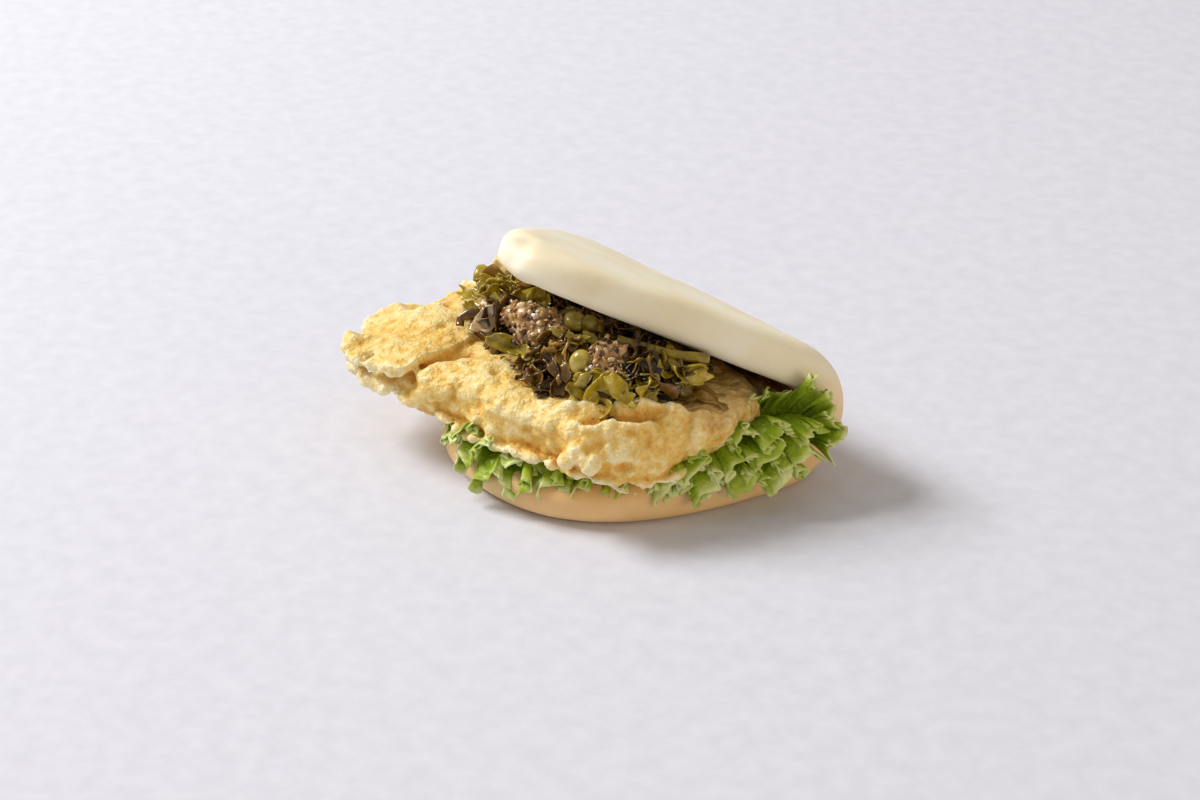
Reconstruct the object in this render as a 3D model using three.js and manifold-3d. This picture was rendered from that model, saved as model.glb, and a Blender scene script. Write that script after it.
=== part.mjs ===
// A folded steamed bun, filled with frilly lettuce, a battered fillet and a heap of chopped pickled greens.
// Millimetres, +Z up. The bun lies on its lower lobe, its mouth faces -Y and its fold is at the back, at +Y.
// The origin is in the middle of the flat spot that the bun rests on.
import * as THREE from "three";
import { mergeVertices } from "three/addons/utils/BufferGeometryUtils.js";
import Module from "manifold-3d";

const wasm = await Module();
wasm.setup();

const { sin, cos, sqrt, abs, min, max, exp, PI } = Math;
const rad = THREE.MathUtils.degToRad;
const { smoothstep, lerp } = THREE.MathUtils;

// Driving dimensions of the bun.
const bunWidth = 109; // along the fold
const doughThickness = 13.4;
const doughPuff = 0.04; // share by which the dough is thicker than that in the middle
const doughThinning = 0.1; // share that it loses from there to the rim
const foldRadius = 15.4; // to the middle of the dough
const foldBackY = 29; // where the outside of the fold comes furthest back
const openingAngle = rad(32); // between the two lobes, at the fold
const lobeDroop = rad(6); // how far the upper lobe bends down towards its tip
const lowerReach = 66.2; // from the fold to the lower lobe's tip
const upperReach = 65; // from the fold to the upper lobe's tip
const lowerPower = 2.4; // of the lower lobe's superellipse, a little squarer than an oval
const upperNarrowing = 0.28; // share of its width that the upper lobe loses towards its tip
const upperSkew = -0.114; // sideways drift of the upper lobe, for each millimetre from the fold
const edgeRound = 7.5; // radius of the dough's rounded rim
const rimUneven = [[3, 0.006, 0.6], [5, 0.005, 2.1]];
const flatSpot = 0.9; // depth to which the lower lobe's belly is flattened where it rests

// Driving dimensions of the filling.
const touchGap = 0.32; // left between foods that lie on each other
const restGap = 0.3; // the same, straight up
const leafThickness = 2.2;
const lettuceFloor = doughThickness - flatSpot + restGap; // height of the leaf's underside on the bun
const filletFloor = lettuceFloor + leafThickness + restGap;
const filletThickness = 16.5;
const filletTop = filletFloor + filletThickness;
const heapHeight = 11; // of the greens, above the fillet
const heapRoot = 4; // how far the heap starts below the fillet's top

// A closed body over a round grid about (0, 0). outline(angle) is how far its rim is from the middle.
// place(x, y, share, side, angle) puts a point of the flat disc on the upper face (side 1) or the lower one
// (side -1). share is 0 in the middle and 1 at the rim, where place has to bring both faces together.
function puck({ rings, spokes, outline, place }) {
  const positions = [];
  const index = [];
  const pushPoint = (share, angle, side) => {
    const radius = outline(angle) * share;
    positions.push(...place(radius * cos(angle), radius * sin(angle), share, side, angle));
  };
  for (const side of [1, -1]) {
    pushPoint(0, 0, side);
    for (let ring = 1; ring <= rings; ring++) {
      // rings crowd towards the rim, where the surface turns over
      const share = ring === rings ? 1 : sin(((ring / rings) * PI) / 2);
      for (let spoke = 0; spoke < spokes; spoke++) pushPoint(share, (spoke / spokes) * 2 * PI, side);
    }
  }
  const pointsOnSide = 1 + rings * spokes;
  for (const [start, flipped] of [[0, false], [pointsOnSide, true]]) {
    const face = (a, b, c) => index.push(...(flipped ? [a, c, b] : [a, b, c]));
    for (let spoke = 0; spoke < spokes; spoke++) {
      const next = (spoke + 1) % spokes;
      face(start, start + 1 + spoke, start + 1 + next);
      for (let ring = 1; ring < rings; ring++) {
        const inner = start + 1 + (ring - 1) * spokes;
        const outer = inner + spokes;
        face(inner + spoke, outer + spoke, outer + next);
        face(inner + spoke, outer + next, inner + next);
      }
    }
  }
  const geometry = new THREE.BufferGeometry();
  geometry.setAttribute("position", new THREE.Float32BufferAttribute(positions, 3));
  geometry.setIndex(index);
  return mergeVertices(geometry, 1e-4);
}

// How much of its thickness a body has at a share of the way to its rim, with a round edge of that radius.
function roundEdge(share, halfSize, radius) {
  const inset = min((1 - share) * halfSize, radius) / radius;
  return sqrt(max(0, 1 - (1 - inset) ** 2));
}

// An outline through radii at equal angles, the first at +X, as a smooth closed curve.
function outlineThrough(radii) {
  const at = (i) => radii[(i + radii.length) % radii.length];
  return (angle) => {
    const place = (((angle / (2 * PI)) % 1) + 1) % 1 * radii.length;
    const i = Math.floor(place);
    const t = place - i;
    const [a, b, c, d] = [at(i - 1), at(i), at(i + 1), at(i + 2)];
    return b + 0.5 * t * (c - a + t * (2 * a - 5 * b + 4 * c - d + t * (3 * (b - c) + d - a)));
  };
}

// A sum of waves round an outline: each has a count, a height and a phase.
function waves(angle, list) {
  return list.reduce((sum, [count, height, phase]) => sum + height * sin(count * angle + phase), 0);
}

// A sum of soft humps in a surface: each has a spot (x, y), a width and a height.
function humps(x, y, list) {
  return list.reduce((sum, [spotX, spotY, width, height]) => {
    const away = (x - spotX) ** 2 + (y - spotY) ** 2;
    return sum + height * exp(-away / width ** 2);
  }, 0);
}

// The bun is one oval of dough, folded over. The dough's middle line starts at the lower lobe, turns round
// the fold and runs up the upper lobe. s is the length along it, and 0 at the back of the fold.
const foldTurn = PI - openingAngle;
const foldHalfLength = (foldRadius * foldTurn) / 2;
const lobeStartY = foldBackY - foldRadius - doughThickness / 2;
function doughLine(s) {
  const along = s + foldHalfLength;
  if (along <= 0) return { y: lobeStartY + along, z: doughThickness / 2, heading: 0 };
  const turned = min(along, 2 * foldHalfLength) / foldRadius;
  const foldEnd = {
    y: lobeStartY + foldRadius * sin(turned),
    z: doughThickness / 2 + foldRadius * (1 - cos(turned)),
  };
  const beyond = max(0, along - 2 * foldHalfLength);
  const bend = lobeDroop / upperReach; // the upper lobe is a long gentle arc
  const heading = turned + bend * beyond;
  return {
    y: foldEnd.y + (sin(heading) - sin(turned)) / bend,
    z: foldEnd.z - (cos(heading) - cos(turned)) / bend,
    heading,
  };
}

function bunGeometry(growth = 0) {
  const half = bunWidth / 2;
  const reachUp = foldHalfLength + upperReach;
  const reachDown = foldHalfLength + lowerReach;
  return puck({
    rings: 12,
    spokes: 56,
    outline: (angle) => {
      const [reach, power] = sin(angle) > 0 ? [reachUp, 2] : [reachDown, lowerPower];
      const oval = (abs(cos(angle) / half) ** power + abs(sin(angle) / reach) ** power) ** (-1 / power);
      return oval * (1 + waves(angle, rimUneven)) + growth;
    },
    place: (x, s, share, side) => {
      const { y, z, heading } = doughLine(s);
      const beyond = max(0, s - foldHalfLength);
      const halfDough = (1 + doughPuff - doughThinning * share) * (doughThickness / 2);
      // side 1 is the dough's inner face, towards the filling
      const offset = side * (halfDough + growth) * roundEdge(share, half, edgeRound);
      const sideways = x * (1 - upperNarrowing * smoothstep(s, 0, reachUp)) + upperSkew * beyond;
      const height = z + cos(heading) * offset - flatSpot;
      return [sideways, y - sin(heading) * offset, growth ? height : max(0, height)];
    },
  });
}

// The fillet: a wide flat slab in batter, lying on the lettuce. Its left front corner runs out into a thin
// curling wing of crust, a crest of crust stands along its right front edge, and the corner below hangs down.
const filletMiddle = { x: -9, y: -25 };
const filletRadii = [56, 62, 57, 41, 37.5, 42, 56, 61, 56, 62, 59, 40, 35.5, 36.5, 41.5, 56];
const filletOutline = outlineThrough(filletRadii);
const filletUneven = [[9, 0.8, 0.4], [13, 0.6, 2.0], [5, 0.7, 1.1]];
const filletHalf = 44; // its half size, for the round of its edge
const filletEdge = { body: 7, wing: 4 };
const filletMid = { body: 7.2, wing: 11 }; // height of its rim above its floor
const wingRuffle = 1.5;
const wingThinning = { top: 5, bottom: 7.5 };
const crests = [[22, -42, 11, 4], [37, -24, 11, 4], [-46, -38, 12, 3]];
const hangingCorner = [[49, -38, 15, 8]];
const backSlope = { from: -12, to: 14, drop: 5 };
const ripple = { height: 0.6, acrossX: 4.1, acrossY: 5.3 };
function filletGeometry(growth = 0) {
  return puck({
    rings: 9,
    spokes: 64,
    outline: (angle) => filletOutline(angle) + waves(angle, filletUneven) + growth,
    place: (dx, dy, share, side) => {
      const x = filletMiddle.x + dx;
      const y = filletMiddle.y + dy;
      const wing = smoothstep(-x - 0.35 * (y - filletMiddle.y), 38, 66);
      const full = roundEdge(share, filletHalf, lerp(filletEdge.body, filletEdge.wing, wing));
      const hanging = humps(x, y, hangingCorner) * share ** 2;
      const curl = wingRuffle * wing * sin(y / 5);
      const middle = filletFloor + lerp(filletMid.body, filletMid.wing, wing) + curl - hanging;
      const slope = backSlope.drop * smoothstep(y, backSlope.from, backSlope.to);
      const uneven = humps(x, y, crests) + ripple.height * sin(x / ripple.acrossX) * cos(y / ripple.acrossY);
      const top = filletTop - slope + uneven - wingThinning.top * wing * share - hanging;
      const bottom = filletFloor + wingThinning.bottom * wing * share - 0.6 * hanging;
      return [x, y, lerp(middle, side > 0 ? top + growth : bottom - growth, full)];
    },
  });
}

// The lettuce: one frilly leaf between the lower lobe and the fillet. It is pressed thin under the fillet.
// Its free edge swells into a ruffled band, which hangs over the front and stands up at the fold's right end.
const leafMiddle = { x: 8, y: -18 };
const leafOutline = outlineThrough([54, 63, 35, 30, 33, 40, 42, 45, 48.5, 45, 38, 45]);
const leafUneven = [[14, 1.2, 0.3], [21, 0.7, 1.9]];
const frillFrom = 0.66; // share of the way to the rim where the frill starts
const frillSwell = 2.4; // half of the band's extra thickness
const frillLift = 1.5;
const frillWaves = [[14, 2.1, 1], [25, 1.1, 0]];
const standUp = 8; // half of the height that the band gains at its right end
const overFront = 3.5;
function lettuceGeometry() {
  return puck({
    rings: 7,
    spokes: 84,
    outline: (angle) => leafOutline(angle) + waves(angle, leafUneven),
    place: (dx, dy, share, side, angle) => {
      const x = leafMiddle.x + dx;
      const y = leafMiddle.y + dy;
      const frill = smoothstep(share, frillFrom, 0.97) * smoothstep(0.9 * dx - dy, -12, 12);
      const standing = standUp * smoothstep(x, 44, 58) * smoothstep(y, -30, 4);
      const hanging = overFront * smoothstep(-y, 42, 60) * smoothstep(-x, -40, -18);
      const ruffle = frill * (frillLift + waves(angle, frillWaves));
      const middle = lettuceFloor + leafThickness / 2 + ruffle + 1.1 * standing - hanging;
      const half = (leafThickness / 2 + frillSwell * frill + standing) * roundEdge(share, 45, 3);
      return [x, y, middle + side * half];
    },
  });
}

// The greens: a long uneven heap on the fillet, under the upper lobe. It starts below the fillet's crust,
// which cuts it off where the two meet.
const heapMiddle = { x: -3, y: -20 };
const heapOutline = outlineThrough([43, 34, 24, 21, 28, 44, 49, 33, 23, 22, 28.5, 37]);
const heapUneven = [[11, 1.1, 0.2], [17, 0.9, 1.3]];
const heapBelly = 3; // how far the heap's underside sags below its root
function greensGeometry() {
  return puck({
    rings: 8,
    spokes: 48,
    outline: (angle) => heapOutline(angle) + waves(angle, heapUneven),
    place: (dx, dy, share, side) => {
      const x = heapMiddle.x + dx;
      const y = heapMiddle.y + dy;
      const low = filletTop - heapRoot;
      if (side < 0) return [x, y, low - heapBelly * (1 - share ** 2)];
      const lumps = 1.3 * sin(x / 2.7 + 1) * cos(y / 2.3) + 0.8 * sin(x / 1.6 + y / 2.1);
      const dome = (heapHeight + heapRoot) * (1 - share ** 7);
      return [x, y, low + dome + lumps * (1 - share ** 4)];
    },
  });
}

// A geometry as a solid, and a solid's largest piece as a geometry.
function solidOf(geometry) {
  const { array } = geometry.getAttribute("position");
  return new wasm.Manifold(
    new wasm.Mesh({ numProp: 3, vertProperties: array, triVerts: new Uint32Array(geometry.index.array) }),
  );
}
function geometryOf(solid) {
  const largest = solid.decompose().reduce((a, b) => (b.volume() > a.volume() ? b : a));
  const { vertProperties, triVerts } = largest.getMesh();
  const geometry = new THREE.BufferGeometry();
  geometry.setAttribute("position", new THREE.BufferAttribute(new Float32Array(vertProperties), 3));
  return geometry.setIndex(new THREE.BufferAttribute(new Uint32Array(triVerts), 1));
}

function addFood(group, name, geometry, color, roughness) {
  const food = new THREE.Mesh(geometry, new THREE.MeshStandardMaterial({ color, roughness, metalness: 0 }));
  food.name = name;
  group.add(food);
}

// Each food is cut back by its neighbours, grown by the gap, so that they lie on each other without overlap.
const bunRoom = solidOf(bunGeometry(touchGap));
const filletRoom = solidOf(filletGeometry(touchGap));
const fillet = solidOf(filletGeometry()).subtract(bunRoom);
const lettuce = solidOf(lettuceGeometry()).subtract(bunRoom).subtract(filletRoom);
const greens = solidOf(greensGeometry()).subtract(bunRoom).subtract(filletRoom);

const filledBun = new THREE.Group();
addFood(filledBun, "bun", bunGeometry(), 0xefe6cf, 0.55);
addFood(filledBun, "fillet", geometryOf(fillet), 0xe8c47a, 0.6);
addFood(filledBun, "lettuce", geometryOf(lettuce), 0x86b43c, 0.45);
addFood(filledBun, "greens", geometryOf(greens), 0x5a4a1c, 0.3);
export default filledBun;
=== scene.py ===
"""A folded steamed bun, filled with frilly lettuce, a battered fillet and a heap of chopped pickled greens."""

import math

import bmesh
import bpy
import numpy as np
from mathutils import Matrix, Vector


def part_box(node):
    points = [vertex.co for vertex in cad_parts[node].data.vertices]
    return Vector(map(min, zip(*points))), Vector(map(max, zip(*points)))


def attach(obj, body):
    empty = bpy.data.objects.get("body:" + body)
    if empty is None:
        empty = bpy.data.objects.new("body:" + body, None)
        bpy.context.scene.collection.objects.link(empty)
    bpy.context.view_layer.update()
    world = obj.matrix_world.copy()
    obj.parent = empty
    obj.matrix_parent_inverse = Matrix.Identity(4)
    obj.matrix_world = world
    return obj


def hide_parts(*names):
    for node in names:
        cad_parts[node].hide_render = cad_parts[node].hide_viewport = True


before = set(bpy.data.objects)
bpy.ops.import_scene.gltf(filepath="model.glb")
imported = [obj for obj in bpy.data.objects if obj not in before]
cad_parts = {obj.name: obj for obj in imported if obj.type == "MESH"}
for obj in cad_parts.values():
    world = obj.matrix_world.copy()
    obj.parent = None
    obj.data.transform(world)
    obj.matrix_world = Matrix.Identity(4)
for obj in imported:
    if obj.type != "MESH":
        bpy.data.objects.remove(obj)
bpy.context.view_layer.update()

# --------------------------------------------------
# Studio: a pale matt table top, one large soft light from the left and above, and a weak fill.
# The camera looks down into the bun's mouth from its front right.
# --------------------------------------------------


def linear(hex_colour):
    """The scene-linear colour of an sRGB hex value such as "#e8d08a"."""
    parts = [int(hex_colour[i : i + 2], 16) / 255 for i in (1, 3, 5)]
    return [*(c / 12.92 if c <= 0.04045 else ((c + 0.055) / 1.055) ** 2.4 for c in parts), 1.0]


def feed(tree, node, values):
    """Fills a node's inputs: a value is a constant or the output of another node."""
    for socket, value in values.items():
        if isinstance(value, bpy.types.NodeSocket):
            tree.links.new(value, node.inputs[socket])
        else:
            node.inputs[socket].default_value = value


def add(tree, kind, values=None, **settings):
    """Adds a node with its settings and the values of its inputs."""
    node = tree.nodes.new(kind)
    for name, setting in settings.items():
        setattr(node, name, setting)
    feed(tree, node, values or {})
    return node


def new_material(name, **constants):
    """A material with one Principled surface, its constants, and the place on the object to paint it by."""
    material = bpy.data.materials.new(name)
    material.use_nodes = True
    tree = material.node_tree
    shader = tree.nodes["Principled BSDF"]
    feed(tree, shader, {socket.replace("_", " "): value for socket, value in constants.items()})
    place = add(tree, "ShaderNodeTexCoord").outputs["Object"]
    return material, tree, shader, place


def ramp(tree, factor, stops):
    """The colour that goes through (factor, hex colour) stops as the factor rises from 0 to the last of them."""
    last = stops[-1][0]
    share = add(tree, "ShaderNodeMath", {0: factor, 1: last}, operation="DIVIDE").outputs[0]
    node = add(tree, "ShaderNodeValToRGB", {"Fac": share})
    while len(node.color_ramp.elements) < len(stops):
        node.color_ramp.elements.new(0.5)
    for element, (position, hex_colour) in zip(node.color_ramp.elements, stops):
        element.position = position / last
        element.color = linear(hex_colour)
    return node.outputs["Color"]


bpy.ops.mesh.primitive_plane_add(size=6.0)
table = bpy.context.object
table.name = "table_top"
# painted board: matt, with a faint mottle a few millimetres across
material, tree, shader, place = new_material("painted_table_board", Roughness=0.75)
mottle = add(tree, "ShaderNodeTexNoise", {"Vector": place, "Scale": 160.0, "Detail": 4.0}).outputs["Fac"]
feed(tree, shader, {"Base Color": ramp(tree, mottle, [(0.3, "#d8dcee"), (0.7, "#e0e4f6")])})
table.data.materials.append(material)

world = bpy.data.worlds.new("studio")
bpy.context.scene.world = world
world.use_nodes = True
feed(world.node_tree, world.node_tree.nodes["Background"], {"Color": linear("#f4ead9"), "Strength": 0.46})
bpy.context.scene.view_settings.view_transform = "Standard"

view_azimuth, view_elevation, view_distance = math.radians(48.8), math.radians(28.4), 0.82
view_back = np.array([
    math.sin(view_azimuth) * math.cos(view_elevation),
    -math.cos(view_azimuth) * math.cos(view_elevation),
    math.sin(view_elevation),
])
view_right = np.array([math.cos(view_azimuth), math.sin(view_azimuth), 0.0])
view_up = np.cross(view_back, view_right)
aim = -0.01285 * view_right + 0.0086 * view_up


def stand(name, data, position, back, up):
    """Puts a camera or a lamp at a position, looking against back."""
    back = back / np.linalg.norm(back)
    right = np.cross(up, back)
    right = right / np.linalg.norm(right)
    axes = np.eye(4)
    axes[:3, :4] = np.stack([right, np.cross(back, right), back, position], axis=1)
    thing = bpy.data.objects.new(name, data)
    thing.matrix_world = Matrix(axes.tolist())
    bpy.context.collection.objects.link(thing)
    return thing


camera = bpy.data.cameras.new("camera")
camera.sensor_width = 36.0
camera.lens = 84.83
camera.clip_start = 0.01
up_axis = np.array([0.0, 0.0, 1.0])
bpy.context.scene.camera = stand("camera", camera, aim + view_distance * view_back, view_back, up_axis)


def soft_light(name, towards, distance, size, power, hex_colour):
    """A square lamp that shines on the bun from a direction given as right, forward and up of the camera's."""
    forward = np.array([-math.sin(view_azimuth), math.cos(view_azimuth), 0.0])
    direction = towards[0] * view_right + towards[1] * forward + towards[2] * up_axis
    direction = direction / np.linalg.norm(direction)
    lamp = bpy.data.lights.new(name, "AREA")
    lamp.size = size
    lamp.energy = power
    lamp.color = linear(hex_colour)[:3]
    stand(name, lamp, direction * distance, direction, up_axis)


soft_light("window_light", (-0.95, 0.42, 0.95), 2.2, 0.84, 47.0, "#fffcf6")
soft_light("warm_fill", (0.75, -0.75, 0.22), 1.2, 0.5, 2.4, "#ffdfb0")

# --------------------------------------------------
# Bun: one oval of steamed wheat dough, folded over. Its skin is smooth and satin, and its rim is round.
# A flat oval is shaped first and then bent along a middle line: lower lobe, fold, upper lobe.
# --------------------------------------------------
bun_width, dough_thickness, fold_radius, fold_back = 109.0, 13.4, 15.4, 29.0  # millimetres
opening_angle, lobe_droop = math.radians(32), math.radians(6)
lower_reach, upper_reach = 66.2, 65.0
flat_spot = 0.9
fold_turn = math.pi - opening_angle
fold_half = fold_radius * fold_turn / 2
lobe_start = fold_back - fold_radius - dough_thickness / 2


def smoothstep(value, start, end):
    share = np.clip((value - start) / (end - start), 0, 1)
    return share * share * (3 - 2 * share)


def cloud(points, size, seed):
    """Smooth random values from -1 to 1 over points in space, in lumps about size across."""
    table_of_values = np.random.default_rng(seed).uniform(-1, 1, 8192)
    cell = np.floor(points / size).astype(np.int64)
    part = points / size - cell
    part = part * part * (3 - 2 * part)
    total = np.zeros(points.shape[:-1])
    for corner in np.ndindex(2, 2, 2):
        spot = cell + corner
        key = (spot[..., 0] * 73856093 ^ spot[..., 1] * 19349663 ^ spot[..., 2] * 83492791) & 8191
        total += np.prod(np.where(corner, part, 1 - part), axis=-1) * table_of_values[key]
    return total


def cad_corners(node):
    """The low and high corner of a CAD node's box, in millimetres."""
    return (np.array(corner) * 1000 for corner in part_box(node))


def make_piece(name, points, faces, material, **values):
    """A smooth piece from points in millimetres and faces, with a number on each point under each name."""
    mesh = bpy.data.meshes.new(name)
    mesh.from_pydata((np.asarray(points) * 0.001).tolist(), [], [list(face) for face in faces])
    for attribute, numbers in values.items():
        layer = mesh.attributes.new(attribute, "FLOAT", "POINT")
        layer.data.foreach_set("value", np.ascontiguousarray(numbers, dtype=np.float32))
    mesh.shade_smooth()
    mesh.materials.append(material)
    piece = bpy.data.objects.new(name, mesh)
    bpy.context.collection.objects.link(piece)
    return piece


def dough_line(s):
    """Where the dough's middle line is, and which way it heads, at a length s from the back of the fold."""
    along = s + fold_half
    turned = np.clip(along, 0, 2 * fold_half) / fold_radius
    beyond = np.maximum(0, along - 2 * fold_half)
    bend = lobe_droop / upper_reach
    heading = turned + bend * beyond
    y = lobe_start + np.minimum(along, 0) + fold_radius * np.sin(turned) + (np.sin(heading) - np.sin(turned)) / bend
    z = dough_thickness / 2 + fold_radius * (1 - np.cos(turned)) - (np.cos(heading) - np.cos(turned)) / bend
    return y, z, heading


rings, spokes = 56, 200
angle = np.arange(spokes) / spokes * 2 * math.pi
half_width, reach_up, reach_down = bun_width / 2, fold_half + upper_reach, fold_half + lower_reach
is_upper = np.sin(angle) > 0
reach = np.where(is_upper, reach_up, reach_down)
power = np.where(is_upper, 2.0, 2.4)
rim = (np.abs(np.cos(angle) / half_width) ** power + np.abs(np.sin(angle) / reach) ** power) ** (-1 / power)
rim = rim * (1 + 0.006 * np.sin(3 * angle + 0.6) + 0.005 * np.sin(5 * angle + 2.1))
share = np.sin(np.arange(rings + 1) / rings * math.pi / 2)[:, None]
flat_x, flat_s = share * rim * np.cos(angle), share * rim * np.sin(angle)
y, z, heading = dough_line(flat_s)
tip_narrowing, tip_swing = 0.28, 0.114  # of the upper lobe: it ends narrower, and lies off to the left
beyond = np.maximum(0, flat_s - fold_half)
sideways = flat_x * (1 - tip_narrowing * smoothstep(flat_s, 0, reach_up)) - tip_swing * beyond
round_rim, roundness = 7.5, 2.6  # how far in from its edge the dough is rounded off, and how bluntly
inset = np.minimum((1 - share) * half_width, round_rim) / round_rim
edge = (1 - (1 - inset) ** roundness) ** (1 / roundness)
faces_of_dough = []
for side in (1, -1):
    tip = 0.12 * smoothstep(flat_s, fold_half, reach_up) * (side > 0)
    offset = side * (1.04 - 0.1 * share - tip) * dough_thickness / 2 * edge
    height = np.maximum(0, z + np.cos(heading) * offset - flat_spot)
    faces_of_dough.append(np.stack([sideways, y - np.sin(heading) * offset, height], axis=-1))
inner, outer = faces_of_dough
# the two faces share their rim
grid = np.concatenate([inner[1:], outer[rings - 1 : 0 : -1]]).reshape(-1, 3)
rows = 2 * rings - 1
points = np.concatenate([grid, inner[:1, 0], outer[:1, 0]])
row, column = np.meshgrid(np.arange(rows - 1), np.arange(spokes), indexing="ij")
after = (column + 1) % spokes
this_row, next_row = row * spokes, (row + 1) * spokes
quads = np.stack([this_row + column, next_row + column, next_row + after, this_row + after], axis=-1)
first_pole, last_pole = rows * spokes, rows * spokes + 1
last_row = (rows - 1) * spokes
around_pole = [(i, (i + 1) % spokes) for i in range(spokes)]
caps = [(first_pole, i, k) for i, k in around_pole]
caps += [(last_pole, last_row + k, last_row + i) for i, k in around_pole]

# a soft, slightly uneven skin, with a shallow ring pressed in near the tip of the upper lobe
from_tip = np.hypot(points[:, 0] + 17, points[:, 1] + 40)
ring = 1.3 * np.exp(-((from_tip - 8) ** 2) / 9) * (points[:, 2] > 52)
low_lumps = 0.4 * cloud(points, 17.0, 3) + 0.16 * cloud(points, 7.0, 4) - ring
on_table = smoothstep(points[:, 2], 0.0, 4.0)
points[:, 2] += low_lumps * on_table
points[:, 1] -= 0.5 * low_lumps * on_table
bun_low, bun_high = cad_corners("bun")
points = bun_low + (points - points.min(axis=0)) / np.ptp(points, axis=0) * (bun_high - bun_low)

# steamed wheat dough: a thin satin skin over a pale crumb that light sinks into; it shows pores of about 0.4 mm
material, tree, shader, place = new_material(
    "steamed_wheat_dough", Roughness=0.46, IOR=1.42, Specular_IOR_Level=0.35,
    Subsurface_Weight=0.3, Subsurface_Scale=0.003, Subsurface_Radius=(1.0, 0.72, 0.45),
)
patches = add(tree, "ShaderNodeTexNoise", {"Vector": place, "Scale": 55.0, "Detail": 3.0}).outputs["Fac"]
upper = ramp(tree, patches, [(0.3, "#f1e6c8"), (0.52, "#f8f1da"), (0.75, "#fbf8ea")])
# the lower lobe is painted a warmer tan than the upper lobe's cream: painted warm bounce light and shade, fading out
# as the dough rises
lower = ramp(tree, patches, [(0.3, "#e5bb7e"), (0.7, "#eecb94")])
height = add(tree, "ShaderNodeSeparateXYZ", {"Vector": place}).outputs["Z"]
rise = add(tree, "ShaderNodeMapRange", {"Value": height, "From Min": 0.012, "From Max": 0.034}).outputs["Result"]
skin = add(tree, "ShaderNodeMix", {0: rise, 6: lower, 7: upper}, data_type="RGBA").outputs[2]
oil = add(tree, "ShaderNodeAttribute", attribute_name="oil").outputs["Fac"]
streaks = add(tree, "ShaderNodeTexNoise", {
    "Vector": place, "Scale": 260.0, "Detail": 5.0, "Roughness": 0.65,
}).outputs["Fac"]
soaked = add(tree, "ShaderNodeMath", {0: oil, 1: streaks}, operation="MULTIPLY").outputs[0]
stain = ramp(tree, soaked, [(0.06, "#f3e9cd"), (0.2, "#e3bf83"), (0.34, "#a8692c"), (0.52, "#5c2f12")])
wet = add(tree, "ShaderNodeMapRange", {"Value": soaked, "From Min": 0.02, "From Max": 0.14}).outputs["Result"]
tint = add(tree, "ShaderNodeMix", {0: wet, 6: skin, 7: stain}, data_type="RGBA").outputs[2]
gloss = add(tree, "ShaderNodeMapRange", {"Value": wet, "To Min": 0.46, "To Max": 0.22}).outputs["Result"]
pores = add(tree, "ShaderNodeTexNoise", {"Vector": place, "Scale": 900.0, "Detail": 3.0}).outputs["Fac"]
wrinkles = add(tree, "ShaderNodeTexNoise", {"Vector": place, "Scale": 120.0, "Detail": 4.0}).outputs["Fac"]
relief = add(tree, "ShaderNodeMath", {0: wrinkles, 1: pores}, operation="ADD").outputs[0]
bump = add(tree, "ShaderNodeBump", {"Height": relief, "Strength": 0.12, "Distance": 0.0006}).outputs["Normal"]
feed(tree, shader, {"Base Color": tint, "Roughness": gloss, "Normal": bump})

# oil has soaked into the inner face where it lies on the filling
above_filling = points[:, 2] - (31.8 - 5 * smoothstep(points[:, 1], -12, 14))
is_inner = np.zeros(len(points))
is_inner[: (rings - 1) * spokes] = 1
is_inner[first_pole] = 1
oil = is_inner * smoothstep(above_filling, 5.5, 0.3) * smoothstep(above_filling, -9, -1)
oil = oil * smoothstep(points[:, 0], -20, 20) * smoothstep(points[:, 0], 50, 41)
bun = make_piece("bun_dough", points, [*quads.reshape(-1, 4), *caps], material, oil=oil)
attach(bun, "root")
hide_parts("bun")

# --------------------------------------------------
# Fillet: white fish in a light frying batter, crisp, blistered and hollow at its edges. The batter is shaped as
# a field of distances, in which lumps are joined on and hollows are taken out, and then skinned.
# --------------------------------------------------
fillet_low, fillet_high = cad_corners("fillet")
fillet_middle = np.array([-9.0, -25.0])
fillet_radii = [56, 62, 57, 41, 37.5, 42, 56, 61, 56, 62, 59, 40, 35.5, 36.5, 41.5, 56]
fillet_floor, fillet_top = 15.3, 31.8
batter_step = 0.58  # the grid on which its shape is worked out


def between(a, b, c, d, t):
    """The smooth curve through four values, at a share t of the way from b to c."""
    return b + 0.5 * t * (c - a + t * (2 * a - 5 * b + 4 * c - d + t * (3 * (b - c) + d - a)))


def closed_curve(radii, angle):
    """A smooth closed outline through radii at equal angles."""
    radii = np.asarray(radii, float)
    place = (angle / (2 * math.pi)) % 1 * len(radii)
    i = np.floor(place).astype(int)
    return between(*(radii[(i + k) % len(radii)] for k in (-1, 0, 1, 2)), place - i)


def smooth_union(a, b, blend):
    h = np.clip(0.5 + 0.5 * (b - a) / blend, 0, 1)
    return b + (a - b) * h - blend * h * (1 - h)


def smooth_cut(a, b, blend):
    return -smooth_union(-a, b, blend)


def hump(x, y, spot_x, spot_y, width, height):
    return height * np.exp(-((x - spot_x) ** 2 + (y - spot_y) ** 2) / width**2)


low = np.array([fillet_low[0] - 3, fillet_low[1] - 3, fillet_low[2] - 4])
high = np.array([fillet_high[0] + 3, fillet_high[1] + 3, 48.0])
axes = [np.arange(low[i], high[i], batter_step) for i in range(3)]
X, Y, Z = np.meshgrid(*axes, indexing="ij", sparse=True)
flat = np.stack(np.broadcast_arrays(X[..., 0], Y[..., 0], 0 * X[..., 0]), axis=-1)
around = np.arctan2(flat[..., 1] - fillet_middle[1], flat[..., 0] - fillet_middle[0])
from_middle = np.hypot(flat[..., 0] - fillet_middle[0], flat[..., 1] - fillet_middle[1])
past_rim = (from_middle - closed_curve(fillet_radii, around)) * 0.92


def ragged(seed, *octaves):
    """An uneven offset of an outline, from (size, height) pairs in millimetres."""
    return sum(height * cloud(flat, size, seed + n) for n, (size, height) in enumerate(octaves))


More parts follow.
